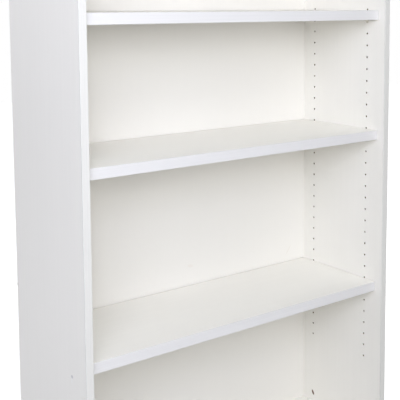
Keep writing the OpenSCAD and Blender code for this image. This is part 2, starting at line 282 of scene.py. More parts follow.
# A Mix node's sockets are 0 for the share, 2 and 3 for numbers, and 6 and 7 for colours.
COLOURS = {"out": 2, "data_type": "RGBA"}
NOISE_SPAN = {1: 0.3, 2: 0.7}  # a Map Range node takes in most of a noise's values with these
FELT_SPAN = {1: 0.35, 2: 0.65}  # the same for a noise that is to show harder spots
RESIN_IOR, ABS_IOR = 1.5, 1.52  # melamine, lacquer, wood and moulded plastics; ABS
RAW_CHIPS, RAW_FIBRE, RAW_WOOD, FLOOR_PAINT = 0.9, 0.85, 0.7, 0.8  # roughness


def add(tree, kind, inputs=None, out=0, **settings):
    """Adds a shader node with its settings, fills or links its inputs, and returns one output."""
    node = tree.nodes.new("ShaderNode" + kind)
    for name, value in settings.items():
        setattr(node, name, value)
    for key, value in (inputs or {}).items():
        if isinstance(value, bpy.types.NodeSocket):
            tree.links.new(value, node.inputs[key])
        else:
            node.inputs[key].default_value = value
    return node.outputs[out] if node.outputs else node


def new_material(name):
    """A new material, its tree, and in it Object coordinates in millimetres."""
    material = bpy.data.materials.new(name)
    material.use_nodes = True
    tree = material.node_tree
    tree.nodes.clear()
    place = add(tree, "TexCoord", out="Object")
    return material, tree, add(tree, "VectorMath", {0: place, "Scale": 1 / MM}, operation="SCALE")


def close(material, height, inputs):
    """Ends a material in one Principled shader, with relief from a height in millimetres."""
    tree = material.node_tree
    relief = add(tree, "Bump", {"Height": height, "Distance": MM, "Strength": 1.0})
    shader = add(tree, "BsdfPrincipled", {**inputs, "Normal": relief})
    add(tree, "OutputMaterial", {"Surface": shader})
    return material


def solid(rgb, factor=1.0):
    """A colour with its alpha, made lighter or darker by a factor."""
    return [min(1.0, c * factor) for c in rgb[:3]] + [1.0]


def shades(rgb, darker, lighter):
    """The two colours of a Mix node, as shades of one colour."""
    return {6: solid(rgb, darker), 7: solid(rgb, lighter)}


def scales(width, axis, length):
    """Scales that make a pattern's spots this wide, and this long along one axis, in mm."""
    result = [1 / width] * 3
    result[axis] = 1 / length
    return result


def near_planes(tree, place, axis, planes, reach):
    """1 within reach of any of the planes across an axis, in millimetres, and 0 elsewhere."""
    across = add(tree, "SeparateXYZ", {0: place}, out=axis)
    total = 0.0
    for plane in planes:
        hit = add(tree, "Math", {0: across, 1: plane, 2: reach}, operation="COMPARE")
        total = add(tree, "Math", {0: total, 1: hit}, operation="MAXIMUM")
    return total


def worn_spot(tree, place, centre, radii, turn):
    """1 inside a ragged ellipsoid at centre, with radii in millimetres, and 0 outside."""
    crumb, ragged, soft = 2.2, 0.35, 0.25  # crumb in mm, the others in radii
    local = add(
        tree, "Mapping", {"Vector": place, "Location": centre, "Rotation": turn, "Scale": radii},
        vector_type="TEXTURE",
    )
    far = add(tree, "VectorMath", {0: local}, out="Value", operation="LENGTH")
    rough = add(tree, "TexNoise", {"Vector": place, "Scale": 1 / crumb, "Detail": 3.0})
    uneven = add(tree, "Math", {0: rough, 1: ragged, 2: far}, operation="MULTIPLY_ADD")
    rim = 1 + ragged / 2
    return add(tree, "MapRange", {0: uneven, 1: rim + soft, 2: rim - soft})


def marked(tree, place, marks, colour, height):
    """Lays wear marks over a face: each is (centre, radii, turn, hex, depth), in millimetres and
    radians."""
    for centre, radii, turn, code, depth in marks:
        hit = worn_spot(tree, place, centre, radii, turn)
        colour = add(tree, "Mix", {0: hit, 6: colour, 7: solid(linear(code))}, **COLOURS)
        height = add(tree, "Math", {0: hit, 1: -depth, 2: height}, operation="MULTIPLY_ADD")
    return colour, height


def chipboard(tree, place, axis, low, high, settings):
    """Colour and height in mm of the raw core: long chips in the middle, fine ones at the faces."""
    middle_chip, face_chip = (settings.chip / MM, 0.9), (1.1, 0.4)  # length and thickness, mm
    fine_depth, mixed_depth, relief = 2.5, 4.0, 0.12  # mm
    chips = []
    for length, thickness in (middle_chip, face_chip):
        scale = scales(length, axis, thickness)
        flat = add(tree, "Mapping", {"Vector": place, "Scale": scale})
        cell = add(tree, "TexVoronoi", {"Vector": flat, "Scale": 1.0}, out="Color")
        chips.append(add(tree, "SeparateColor", {0: cell}))
    across = add(tree, "SeparateXYZ", {0: place}, out=axis)
    off_middle = add(tree, "Math", {0: across, 1: -(low + high) / 2}, operation="ADD")
    off_middle = add(tree, "Math", {0: off_middle}, operation="ABSOLUTE")
    half = (high - low) / 2
    at_face = add(tree, "MapRange", {0: off_middle, 1: half - mixed_depth, 2: half - fine_depth})
    random = add(tree, "Mix", {0: at_face, 2: chips[0], 3: chips[1]})
    ends = {6: solid(settings.chip_dark), 7: solid(settings.chip_light)}
    colour = add(tree, "Mix", {0: random, **ends}, **COLOURS)
    return colour, add(tree, "Math", {0: random, 1: relief}, operation="MULTIPLY")


def melamine_faced_chipboard(name, axis, low, high, along, columns=(), marks=()):
    """Paper soaked in melamine resin and pressed onto chipboard: an even satin white with faint
    dimples, and raw chips wherever the board is cut, bored or grooved. axis is across the board,
    along is its length, and columns are the places along Y of its bored holes, whose walls are
    painted dark: the drill's burnish on the chips, and painted shade inside the holes."""
    settings = bpy.context.scene.bookcase.boards
    patch, streak, streak_length, dimple = 160.0, 7.0, 420.0, 0.02  # mm
    streak_share, rubbed = 0.45, 0.04
    hole_reach, burnish_and_shade_share = 2.6, 0.74  # a hole's radius in mm and a little more, and how far the bore walls take the burnish and painted shade colour
    material, tree, place = new_material(name)
    cloud = add(tree, "TexNoise", {"Vector": place, "Scale": 1 / patch})
    lines = add(tree, "Mapping", {"Vector": place, "Scale": scales(streak, along, streak_length)})
    lines = add(tree, "TexNoise", {"Vector": lines, "Scale": 1.0})
    tone = add(tree, "Mix", {0: streak_share, 2: cloud, 3: lines})
    tone = add(tree, "MapRange", {0: tone, **NOISE_SPAN})
    face = add(tree, "Mix", {0: tone, **shades(settings.face, 0.985, 1.015)}, **COLOURS)
    pearl = add(tree, "TexNoise", {"Vector": place, "Scale": MM / settings.pearl})
    height = add(tree, "Math", {0: pearl, 1: dimple}, operation="MULTIPLY")
    gloss = {3: settings.gloss - rubbed, 4: settings.gloss + rubbed}
    rough = add(tree, "MapRange", {0: cloud, **NOISE_SPAN, **gloss})

    core, core_height = chipboard(tree, place, axis, low, high, settings)
    if columns:
        # The bore walls are darkened: partly the drill's burnish, partly painted shade inside the
        # holes.
        bored = near_planes(tree, place, Y, columns, hole_reach)
        share = add(tree, "Math", {0: bored, 1: burnish_and_shade_share}, operation="MULTIPLY")
        core = add(tree, "Mix", {0: share, 6: core, 7: solid(settings.burnish_and_shade)}, **COLOURS)
    face, height = marked(tree, place, marks, face, height)
    on_face = near_planes(tree, place, axis, (low, high), settings.foil / MM)
    colour = add(tree, "Mix", {0: on_face, 6: core, 7: face}, **COLOURS)
    height = add(tree, "Mix", {0: on_face, 2: core_height, 3: height})
    rough = add(tree, "Mix", {0: on_face, 2: RAW_CHIPS, 3: rough})
    return close(material, height, {"Base Color": colour, "Roughness": rough, "IOR": RESIN_IOR})


def abs_edge_band(name, rgb, along, glue_axis, glue_plane):
    """Extruded ABS, trimmed and buffed: cooler and a little glossier than the board, with faint
    draw lines along it and a thin line of hot-melt glue where it meets the board."""
    settings = bpy.context.scene.bookcase.bands
    # Real draw lines are about 0.3 mm apart, too fine to show, so these are 2.5 mm wide.
    line, line_length, relief = 2.5, 300.0, 0.015  # mm
    shinier, duller = 0.03, 0.05  # how far the roughness falls and rises between draw lines
    material, tree, place = new_material(name)
    drawn = add(tree, "Mapping", {"Vector": place, "Scale": scales(line, along, line_length)})
    drawn = add(tree, "TexNoise", {"Vector": drawn, "Scale": 1.0})
    tone = add(tree, "MapRange", {0: drawn, **NOISE_SPAN})
    face = add(tree, "Mix", {0: tone, **shades(rgb, 0.98, 1.02)}, **COLOURS)
    at_glue = near_planes(tree, place, glue_axis, [glue_plane], settings.glue_line / MM)
    colour = add(tree, "Mix", {0: at_glue, 6: face, 7: solid(settings.glue)}, **COLOURS)
    gloss = {3: settings.gloss - shinier, 4: settings.gloss + duller}
    rough = add(tree, "MapRange", {0: drawn, **NOISE_SPAN, **gloss})
    height = add(tree, "Math", {0: drawn, 1: relief}, operation="MULTIPLY")
    return close(material, height, {"Base Color": colour, "Roughness": rough, "IOR": ABS_IOR})


def lacquered_hardboard(name, front, marks=()):
    """Wood fibre pressed into a thin panel and lacquered on one face: smooth white towards the
    shelves, and brown felted fibre with darker bundles behind and at the edges."""
    settings = bpy.context.scene.bookcase.back
    lacquer_depth, patch, roller, roller_length, ripple = 0.2, 220.0, 6.0, 300.0, 3.0  # mm
    roller_share, strand_share = 0.4, 0.35
    lacquer_relief, fibre_relief = 0.015, 0.25  # mm
    # Real fibres are about 0.05 mm thick, too fine to show, so bundles stand for them.
    bundle, bundle_height, strand, strand_height = 1.4, 0.7, 9.0, 5.0  # mm
    material, tree, place = new_material(name)
    cloud = add(tree, "TexNoise", {"Vector": place, "Scale": 1 / patch})
    roll = add(tree, "Mapping", {"Vector": place, "Scale": scales(roller, Z, roller_length)})
    roll = add(tree, "TexNoise", {"Vector": roll, "Scale": 1.0})
    tone = add(tree, "Mix", {0: roller_share, 2: cloud, 3: roll})
    lacquer = add(tree, "Mix", {0: tone, **shades(settings.lacquer, 0.985, 1.015)}, **COLOURS)
    ripples = add(tree, "TexNoise", {"Vector": place, "Scale": 1 / ripple})
    height = add(tree, "Math", {0: ripples, 1: lacquer_relief}, operation="MULTIPLY")
    lacquer, height = marked(tree, place, marks, lacquer, height)

    felt = []
    for width, tall, detail in ((bundle, bundle_height, 4.0), (strand, strand_height, 2.0)):
        flat = add(tree, "Mapping", {"Vector": place, "Scale": scales(width, Z, tall)})
        felt.append(add(tree, "TexNoise", {"Vector": flat, "Scale": 1.0, "Detail": detail}))
    felt = add(tree, "Mix", {0: strand_share, 2: felt[0], 3: felt[1]})
    ends = {6: solid(settings.fibre_dark), 7: solid(settings.fibre)}
    tone = add(tree, "MapRange", {0: felt, **FELT_SPAN})
    fibre = add(tree, "Mix", {0: tone, **ends}, **COLOURS)
    fibre_height = add(tree, "Math", {0: felt, 1: fibre_relief}, operation="MULTIPLY")

    on_front = near_planes(tree, place, Y, [front], lacquer_depth)
    colour = add(tree, "Mix", {0: on_front, 6: fibre, 7: lacquer}, **COLOURS)
    height = add(tree, "Mix", {0: on_front, 2: fibre_height, 3: height})
    rough = add(tree, "Mix", {0: on_front, 2: RAW_FIBRE, 3: settings.gloss})
    return close(material, height, {"Base Color": colour, "Roughness": rough, "IOR": RESIN_IOR})


def metal(name, rgb, rough, grain, relief):
    """A cast, plated or cold-headed metal: a fine relief, grain wide and relief deep in mm, and
    a finish that is a little darker and duller in patches, where it was handled."""
    patch = 4.0  # mm
    shinier, duller = 0.05, 0.08  # how far the roughness falls and rises in the patches
    material, tree, place = new_material(name)
    skin = add(tree, "TexNoise", {"Vector": place, "Scale": 1 / grain, "Detail": 3.0})
    dull = add(tree, "TexNoise", {"Vector": place, "Scale": 1 / patch})
    colour = add(tree, "Mix", {0: dull, **shades(rgb, 0.88, 1.06)}, **COLOURS)
    gloss = {3: rough - shinier, 4: rough + duller}
    rough = add(tree, "MapRange", {0: dull, **NOISE_SPAN, **gloss})
    height = add(tree, "Math", {0: skin, 1: relief}, operation="MULTIPLY")
    return close(material, height, {"Base Color": colour, "Metallic": 1.0, "Roughness": rough})


def turned_beech(name):
    """Beech turned and fluted for dowels: pale pink-brown, with short dark flecks along X."""
    fleck, fleck_length, relief = 0.5, 1.2, 0.08  # mm
    rgb = bpy.context.scene.bookcase.fittings.beech
    material, tree, place = new_material(name)
    rays = add(tree, "Mapping", {"Vector": place, "Scale": scales(fleck, X, fleck_length)})
    rays = add(tree, "TexNoise", {"Vector": rays, "Scale": 1.0, "Detail": 4.0})
    tone = add(tree, "MapRange", {0: rays, **FELT_SPAN})
    colour = add(tree, "Mix", {0: tone, **shades(rgb, 0.8, 1.05)}, **COLOURS)
    height = add(tree, "Math", {0: rays, 1: relief}, operation="MULTIPLY")
    return close(material, height, {"Base Color": colour, "Roughness": RAW_WOOD, "IOR": RESIN_IOR})


def moulded_plastic(name, rgb, rough):
    """A moulded plastic part: an even colour with the fine texture of a spark-eroded mould."""
    pit, patch, relief = 0.5, 9.0, 0.03  # mm
    material, tree, place = new_material(name)
    texture = add(tree, "TexNoise", {"Vector": place, "Scale": 1 / pit})
    cloud = add(tree, "TexNoise", {"Vector": place, "Scale": 1 / patch})
    colour = add(tree, "Mix", {0: cloud, **shades(rgb, 0.95, 1.05)}, **COLOURS)
    height = add(tree, "Math", {0: texture, 1: relief}, operation="MULTIPLY")
    return close(material, height, {"Base Color": colour, "Roughness": rough, "IOR": RESIN_IOR})


def dress(material, node):
    """Puts a material on a CAD node."""
    materials = NODES[node].data.materials
    materials.clear()
    materials.append(material)


def body_of(node):
    """Name of the CAD body that a node rides on."""
    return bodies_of(NODES[node])[0]


def span(node, axis):
    """Lowest and highest coordinate of a node along an axis, in millimetres."""
    low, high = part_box(node)
    return low[axis] / MM, high[axis] / MM


# ---- Shapes ----


def make_piece(name, form, material, node):
    """A mesh piece from a form (points, faces) in millimetres, which stands for a CAD node and
    rides on its body."""
    points, faces = form
    mesh = bpy.data.meshes.new(name)
    mesh.from_pydata((points * MM).tolist(), [], faces)
    mesh.validate()
    mesh.materials.append(material)
    piece = bpy.data.objects.new(name, mesh)
    bpy.context.scene.collection.objects.link(piece)
    mesh.shade_smooth()
    mesh.set_sharp_from_angle(angle=SHARP)
    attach(piece, body_of(node))
    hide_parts(node)


def tube_faces(rows, around):
    """Quads between rows of points that each close on themselves, and one face over each end."""
    row, step = np.meshgrid(np.arange(rows - 1), np.arange(around), indexing="ij")
    here, ahead = row * around + step, row * around + (step + 1) % around
    quads = np.stack([here, ahead, ahead + around, here + around], axis=-1).reshape(-1, 4)
    first, last = np.arange(around)[::-1], np.arange(around) + (rows - 1) * around
    return quads.tolist() + [first.tolist(), last.tolist()]


def turned(profile, around, relief=None):
    """A turned form about +Z. Profile point (r, z) at angle a lies at (r cos a, r sin a, z), where
    relief(r, a, z) may change r, as a thread or a flute does."""
    profile = np.asarray(profile, float)
    a = np.linspace(0, FULL_TURN, around, endpoint=False)[None, :]
    r, z = profile[:, :1], profile[:, 1:]
    r = relief(r, a, z) if relief else r + 0 * a
    points = np.stack([r * np.cos(a), r * np.sin(a), z + 0 * a], axis=-1).reshape(-1, 3)
    return points, tube_faces(len(profile), around)


def steps(*stops):
    """Evenly spaced profile points between stops (r, z, count), where count is the number of
    points up to the next stop."""
    rows = []
    for (r0, z0, count), (r1, z1, _) in zip(stops, stops[1:]):
        share = np.linspace(0, 1, count, endpoint=False)[:, None]
        rows.append(np.array([[r0, z0]]) * (1 - share) + np.array([[r1, z1]]) * share)
    return np.concatenate(rows + [np.array([stops[-1][:2]])])


def joined(forms):
    """Several closed forms as one array of points and one list of faces."""
    points, faces, start = [], [], 0
    for form_points, form_faces in forms:
        points.append(form_points)
        faces += [[index + start for index in face] for face in form_faces]
        start += len(form_points)
    return np.concatenate(points), faces


def copied(points, faces, places):
    """The same form at each place (origin, direction), with its +Z turned to the direction."""
    forms = []
    for origin, direction in places:
        turn = np.array(Vector(direction).to_track_quat("Z", "Y").to_matrix())
        forms.append((points @ turn.T + origin, faces))
    return joined(forms)


def thread(core, crest, start, end, pitch):
    """A right-hand wood thread between heights start and end: the radius rises from core to crest
    on a narrow ridge where the fraction of (z / pitch - a / 2 pi) is near a half, and dies out
    over the first and last turn."""
    sharpness = 2.6

    def relief(r, a, z):
        turn = np.mod(z / pitch - a / FULL_TURN, 1.0)
        ridge = np.clip(1 - sharpness * np.abs(turn - 0.5), 0, 1)
        fade = np.clip((z - start) / pitch, 0, 1) * np.clip((end - z) / pitch, 0, 1)
        inside = (z > start) & (z < end)
        return np.where(inside, r + (crest - core) * ridge * fade, r + 0 * a)

    return relief


def solids_of(node):
    """Lowest and highest corner, in millimetres, of each separate solid in a CAD node. Every point
    takes the lowest number among its triangles' points, again and again, until each solid has one
    number."""
    mesh = NODES[node].data
    places = np.empty(len(mesh.vertices) * 3)
    mesh.vertices.foreach_get("co", places)
    corners = np.empty(len(mesh.loops), int)
    mesh.loops.foreach_get("vertex_index", corners)
    places = np.round(places.reshape(-1, 3) / MM, 3)
    points, index = np.unique(places, axis=0, return_inverse=True)
    triangles = index.reshape(-1)[corners].reshape(-1, 3)
    number, before = np.arange(len(points)), None
    while not np.array_equal(number, before):
        before = number.copy()
        np.minimum.at(number, triangles, before[triangles].min(axis=1, keepdims=True))
        number = number[number]
    solids = [points[number == n] for n in np.unique(number)]
    return [(points.min(axis=0), points.max(axis=0)) for points in solids]


def far_ends(node):
    """For each long solid in a CAD node: the middle of its end that lies away from the bookcase's
    axis, or its upper end, and the direction in which it points there."""
    ends = []
    for low, high in solids_of(node):
        axis = int(np.argmax(high - low))
        way = np.zeros(3)
        way[axis] = np.sign(low[axis] + high[axis])
        ends.append(((low + high + way * (high - low)) / 2, way))
    return ends


def cam_bolt_form(pitch):
    """Cam bolt along +Z, with z = 0 on the joint: round head, neck, shank and wood thread. Its
    numbers are radii and heights in millimetres, as in the other forms."""
    head, neck, shank, core, crest, tip, hub = 3.5, 2.0, 3.0, 1.65, 2.5, 0.9, 0.3
    head_z, head_half, rim_half, crown = -34.0, 2.8, 1.05, 2.1
    shank_z, chamfer, chamfer_z = head_z + 8.0, 0.2, 0.3
    taper_z, runout = 10.4, 0.2
    profile = steps(
        (hub, head_z - head_half, 2), (crown, head_z - head_half, 3),
        (head, head_z - rim_half, 2), (head, head_z + rim_half, 3),
        (neck, head_z + head_half, 2), (neck, shank_z, 1),
        (shank - chamfer, shank_z, 1), (shank, shank_z + chamfer_z, 2),
        (shank, -chamfer_z, 1), (shank - chamfer, 0.0, 1),
        (core, 0.0, 72), (core, taper_z, 2), (tip, BOLT_TIP, 1), (hub, BOLT_TIP, 1),
    )
    return turned(profile, 32, thread(core, crest, runout, taper_z + runout, pitch))


def dowel_form():
    """Dowel along +Z, with z = 0 on the joint. Its radius drops by flute (1 - cos(flutes a))
    between two chamfered ends."""
    radius, chamfer, hub, flute, flutes = 4.0, 1.0, 0.3, 0.14, 24
    foot, plain, margin = -20.0, 0.3, 0.2
    low, high = foot + chamfer, DOWEL_TIP - chamfer

    def fluted(r, a, z):
        shaft = (z > low + margin) & (z < high - margin)
        return r - np.where(shaft, flute * (1 - np.cos(flutes * a)), 0 * a)

    profile = steps(
        (hub, foot, 2), (radius - chamfer, foot, 1), (radius, low, 2), (radius, low + plain, 12),
        (radius, high - plain, 2), (radius, high, 1), (radius - chamfer, DOWEL_TIP, 2),
        (hub, DOWEL_TIP, 1),
    )
    return turned(profile, 6 * flutes, fluted)


def back_screw_form(pitch):
    """Countersunk screw with its head on z = 0 and its point along +Z. The head's face sinks in a
    cross: its depth falls off from each arm's middle line, towards the arm's end and outwards."""
    length, head, neck, core, crest, point = 25.0, 3.5, 1.45, 1.2, 1.75, 0.05
    arm_half, arm_side, arm_reach, arm_end, recess = 0.45, 0.12, 1.9, 0.5, 1.3
    bottom, slope, rim, edge, rings, around = 2.1, 1.2, 0.2, 0.05, 16, 64
    lip_z, rim_z, cone_z, neck_z, thread_z, taper = 0.12, 0.4, 2.1, 5.0, 5.4, 3.4
    run_in, run_out = 0.2, 1.0
    a = np.linspace(0, FULL_TURN, around, endpoint=False)[None, :]
    r = np.linspace(point, head - rim, rings)[:, None]
    x, y = np.abs(r * np.cos(a)), np.abs(r * np.sin(a))
    arm = np.clip((arm_half - np.minimum(x, y)) / arm_side, 0, 1)
    arm = arm * np.clip((arm_reach - np.maximum(x, y)) / arm_end, 0, 1)
    z = edge + recess * arm * np.clip((bottom - r) / slope, 0, 1)
    face = np.stack([r * np.cos(a), r * np.sin(a), z + 0 * a], axis=-1).reshape(-1, 3)
    profile = steps(
        (head, lip_z, 1), (head, rim_z, 3), (neck, cone_z, 3), (neck, neck_z, 1),
        (core, thread_z, 90), (core, length - taper, 16), (2 * point, length - 2 * point, 1),
        (point, length, 1),
    )
    relief = thread(core, crest, thread_z + run_in, length - run_out, pitch)
    body, _ = turned(profile, around, relief)
    return np.concatenate([face, body]), tube_faces(rings + len(profile), around)


def rounded(corners, radii, arc_points=5):
    """Closed outlines with an arc of arc_points points at every corner, for outlines
    (..., corner, 2) and radii (..., corner). Each arc's points lie at centre + radius (cos a,
    sin a), between the normals of the corner's two sides."""
    corners = np.asarray(corners, float)
    radii = np.broadcast_to(radii, corners.shape[:-1])[..., None]
    before = corners - np.roll(corners, 1, axis=-2)
    before /= np.linalg.norm(before, axis=-1, keepdims=True)
    after = np.roll(before, -1, axis=-2)
    cross = before[..., 0] * after[..., 1] - before[..., 1] * after[..., 0]
    angle = np.arctan2(cross, (before * after).sum(axis=-1))[..., None]
    normal = np.stack([-before[..., 1], before[..., 0]], axis=-1) * np.sign(angle)
    centre = corners - before * radii * np.tan(np.abs(angle) / 2) + normal * radii
    start = np.arctan2(-normal[..., 1], -normal[..., 0])[..., None]
    a = start + angle * np.linspace(0, 1, arc_points)
    arc = centre[..., None, :] + radii[..., None] * np.stack([np.cos(a), np.sin(a)], axis=-1)
    return arc.reshape(*corners.shape[:-2], -1, 2)


def tongue_form(flange):
    """Tongue and rib of a shelf support along +X: a T section carried along x, whose half width
    follows a quarter ellipse round the tip and whose rib rises in a straight line to the tip."""
    thick, half_w, reach, tip_r, rib, foot = 2.4, 6.0, 11.0, 3.0, 1.2, -3.6
    overlap, rib_tip, blunt, edge_r = 0.4, 0.15, 0.004, 0.5
    inner_r, foot_r, largest = 0.6, 0.5, 0.4
    start, arc = reach - tip_r, np.linspace(0.15, 1.45, 8)  # radians round the tip
    round_tip = start + tip_r * np.sin(arc)
    x = np.concatenate([[flange - overlap], np.linspace(flange, start, 8), round_tip])
    into_tip = np.clip((x - start) / tip_r, 0, 1)
    half = half_w - tip_r + tip_r * np.sqrt(np.clip(1 - into_tip**2, blunt, 1))
    root = BEARING - thick
    low = foot + (root - rib_tip - foot) * np.clip((x - flange) / (start - flange), 0, 1)
    one = np.ones_like(x)
    top, step, ribs = BEARING * one, root * one, rib * one
    across = np.stack([half, -half, -half, -ribs, -ribs, ribs, ribs, half], axis=-1)
    up = np.stack([top, top, step, step, low, low, step, step], axis=-1)
    inner, tip = (np.minimum(r, largest * (root - low)) for r in (inner_r, foot_r))
    edge = edge_r * one
    radii = np.stack([edge, edge, edge, inner, tip, tip, inner, edge], axis=-1)
    outlines = rounded(np.stack([across, up], axis=-1), radii)
    along = np.broadcast_to(x[:, None, None], outlines.shape[:2] + (1,))
    points = np.concatenate([along, outlines], axis=-1).reshape(-1, 3)
    return points, tube_faces(len(x), outlines.shape[1])


def flange_form(flange):
    """Flange of a shelf support: an outline, round below and with bevelled shoulders, carried
    along +X, and drawn in over its last quarter of a millimetre."""
    radius, shoulder_r, cut, inset_by, bevel, turn_in = 4.5, 0.6, 0.18, 0.25, 0.25, 0.07
    a = np.linspace(np.pi, FULL_TURN, 19)[:, None]
    bowl = radius * np.concatenate([np.cos(a), np.sin(a)], axis=1)
    shoulder = np.array([
        [radius, BEARING - shoulder_r], [radius - cut, BEARING - cut],
        [radius - shoulder_r, BEARING],
    ])
    outline = np.concatenate([bowl, shoulder, shoulder[::-1] * [-1, 1]])
    inset = outline * (1 - inset_by / np.linalg.norm(outline, axis=1, keepdims=True))
    rows = [
        (0.0, outline), (flange - bevel, outline),
        (flange - turn_in, (outline + inset) / 2), (flange, inset),
    ]
    points = [np.concatenate([np.full((len(o), 1), x), o], axis=1) for x, o in rows]
    return np.concatenate(points), tube_faces(len(rows), len(outline))


def peg_form():
    """Peg of a shelf support along -X: turned, with a chamfered end and rings of depth
    groove / 2 (1 - cos(2 pi (z - high) / spacing)) that grip the hole."""
    radius, chamfer, hub, seat, inside = 2.45, 0.6, 0.2, 0.6, 0.4
    groove, spacing, low, high = 0.16, 1.55, -7.2, -1.0
    profile = steps(
        (hub, -PEG, 2), (radius - chamfer, -PEG, 1), (radius, -PEG + chamfer, 24),
        (radius, -seat, 1), (radius, inside, 1), (hub, inside, 1),
    )

    def grooves(r, a, z):
        ring = (z > low) & (z < high)
        wave = 0.5 - 0.5 * np.cos(FULL_TURN * (z - high) / spacing)
        return r - np.where(ring, groove * wave, 0) + 0 * a

    points, faces = turned(profile, 32, grooves)
    return points[:, [2, 0, 1]], faces


def support_form():
    """Shelf support along +X from its hole, which is at the origin: tongue, flange and peg."""
    flange = 1.4
    return joined([tongue_form(flange), flange_form(flange), peg_form()])


# ---- Stage ----

# Each lamp's azimuth left of the front (-) or right of it (+) and its elevation in degrees, its
# distance from the bookcase's middle and its width in metres, and its colour.
LAMPS = (
    ("key", -32, 20, 2.1, 0.6, (0.98, 1.0, 1.13)),
    ("high_key", -42, 36, 2.1, 0.6, (1.0, 1.0, 1.17)),
    ("window", -45, 18, 3.2, 1.2, (0.96, 1.0, 1.09)),
    ("fill", 0, 12, 3.2, 1.2, (1.02, 1.0, 0.93)),
    ("top", 0, 55, 3.0, 2.0, (0.94, 1.0, 1.01)),
    ("rear", -120, 28, 3.2, 1.2, (1.0, 1.0, 1.07)),
    ("right", 95, 15, 3.2, 1.2, (1.0, 1.0, 1.05)),
    ("behind", 180, 20, 3.2, 1.2, (1.0, 1.0, 1.05)),
    ("overhead", 180, 75, 2.4, 0.9, (1.0, 1.0, 1.05)),
)
DAYLIGHT, WHITE = (1.0, 1.0, 1.08, 1.0), (1.0, 1.0, 1.0, 1.0)


def seen_directly(tree):
    """1 for rays from the camera and for mirrored and transmitted ones, 0 for light on the
    object."""
    total = 0.0
    for ray in ("Is Camera Ray", "Is Glossy Ray", "Is Transmission Ray"):
        hit = add(tree, "LightPath", out=ray)
        total = add(tree, "Math", {0: total, 1: hit}, operation="MAXIMUM")
    return total


def make_floor(settings):
    """A flat square floor at height 0: points on an even grid, x and y from -size to size. Its
    glow makes it white to look at, less so within fade of the middle, where it holds the shadow."""
    size, lines = 9.0, 5  # metres, and grid lines each way
    patch, fade, held = 900.0, (500.0, 2000.0), 0.6  # mm, mm and a share
    grid = np.linspace(-size, size, lines)
    x, y = np.meshgrid(grid, grid, indexing="ij")
    points = np.stack([x, y, np.zeros_like(x)], axis=-1).reshape(-1, 3)
    row, column = np.meshgrid(np.arange(lines - 1), np.arange(lines - 1), indexing="ij")
    corner = (row * lines + column).reshape(-1)
    faces = np.stack([corner, corner + lines, corner + lines + 1, corner + 1], axis=-1)
    mesh = bpy.data.meshes.new("floor")
    mesh.from_pydata(points.tolist(), [], faces.tolist())
    floor = bpy.data.objects.new("floor", mesh)
    bpy.context.scene.collection.objects.link(floor)

    material, tree, place = new_material("painted_floor")
    cloud = add(tree, "TexNoise", {"Vector": place, "Scale": 1 / patch})
    colour = add(tree, "Mix", {0: cloud, **shades(settings.floor, 0.98, 1.02)}, **COLOURS)
    paint = add(tree, "BsdfPrincipled", {"Base Color": colour, "Roughness": FLOOR_PAINT})
    away = add(tree, "VectorMath", {0: place}, out="Value", operation="LENGTH")
    lift = add(tree, "MapRange", {0: away, 1: fade[0], 2: fade[1], 3: held, 4: 1.0})
    lift = add(tree, "Math", {0: seen_directly(tree), 1: lift}, operation="MULTIPLY")
    glow = add(tree, "Emission", {"Strength": lift})
    both = add(tree, "AddShader", {0: paint, 1: glow})
    add(tree, "OutputMaterial", {"Surface": both})
    mesh.materials.append(material)
    floor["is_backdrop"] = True


def light_room(settings):
    """An even room light, and plain white where the camera looks past the floor."""
    world = bpy.data.worlds.new("room")
    bpy.context.scene.world = world
    world.use_nodes = True
    tree = world.node_tree
    tree.nodes.clear()
    seen = seen_directly(tree)
    colour = add(tree, "Mix", {0: seen, 6: DAYLIGHT, 7: WHITE}, **COLOURS)
    strength = add(tree, "Mix", {0: seen, 2: settings.room, 3: 1.0})
    light = add(tree, "Background", {"Color": colour, "Strength": strength})
    add(tree, "OutputWorld", {"Surface": light})


def make_lamp(name, watts, azimuth, elevation, distance, size, colour):
    """A square area lamp that points at the middle of the bookcase and isn't seen itself."""
    data = bpy.data.lights.new(name, "AREA")
    data.size = size
    data.energy = watts
    data.color = colour
    lamp = bpy.data.objects.new(name, data)
    turn, rise = math.radians(azimuth), math.radians(elevation)
    level = math.cos(rise)
    away = Vector((math.sin(turn) * level, -math.cos(turn) * level, math.sin(rise)))
    low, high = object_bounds()
    lamp.location = (Vector(low) + Vector(high)) / 2 + away * distance
    lamp.rotation_euler = away.to_track_quat("Z", "Y").to_euler()
    lamp.visible_camera = False
    bpy.context.scene.collection.objects.link(lamp)


def make_camera(settings):
    """The camera, turned and tilted from a level look along +Y."""
    data = bpy.data.cameras.new("camera")
    data.sensor_width = SENSOR
    data.lens = settings.lens
    data.shift_x = settings.shift_x
    data.shift_y = settings.shift_y
    camera = bpy.data.objects.new("camera", data)
    camera.location = settings.eye
    camera.rotation_euler = (math.pi / 2 - settings.tilt, 0, -settings.turn)
    bpy.context.scene.collection.objects.link(camera)
    bpy.context.scene.camera = camera


# ---- Operators ----


class BOOKCASE_OT_boards(bpy.types.Operator):
    """Gives every board its melamine faces and its raw core"""

    bl_idname = "bookcase.boards"
    bl_label = "Boards"

    def execute(self, context):
        columns = [sum(span(f"support_1_left_{column}", Y)) / 2 for column in COLUMNS]
        for side, marks in SIDE_MARKS.items():
            node = f"side_{side}"
            low, high = span(node, X)
            marks = [((low, y, z), *rest) for (y, z), *rest in marks]
            name = f"melamine_chipboard_{node}"
            dress(melamine_faced_chipboard(name, X, low, high, Z, columns, marks), node)
        lying = ["top_board", "bottom_board"] + [f"shelf_{n}" for n in SHELVES]
        for node, across in [(node, Z) for node in lying] + [("plinth", Y)]:
            name = f"melamine_chipboard_{node}"
            dress(melamine_faced_chipboard(name, across, *span(node, across), X), node)
        return {"FINISHED"}


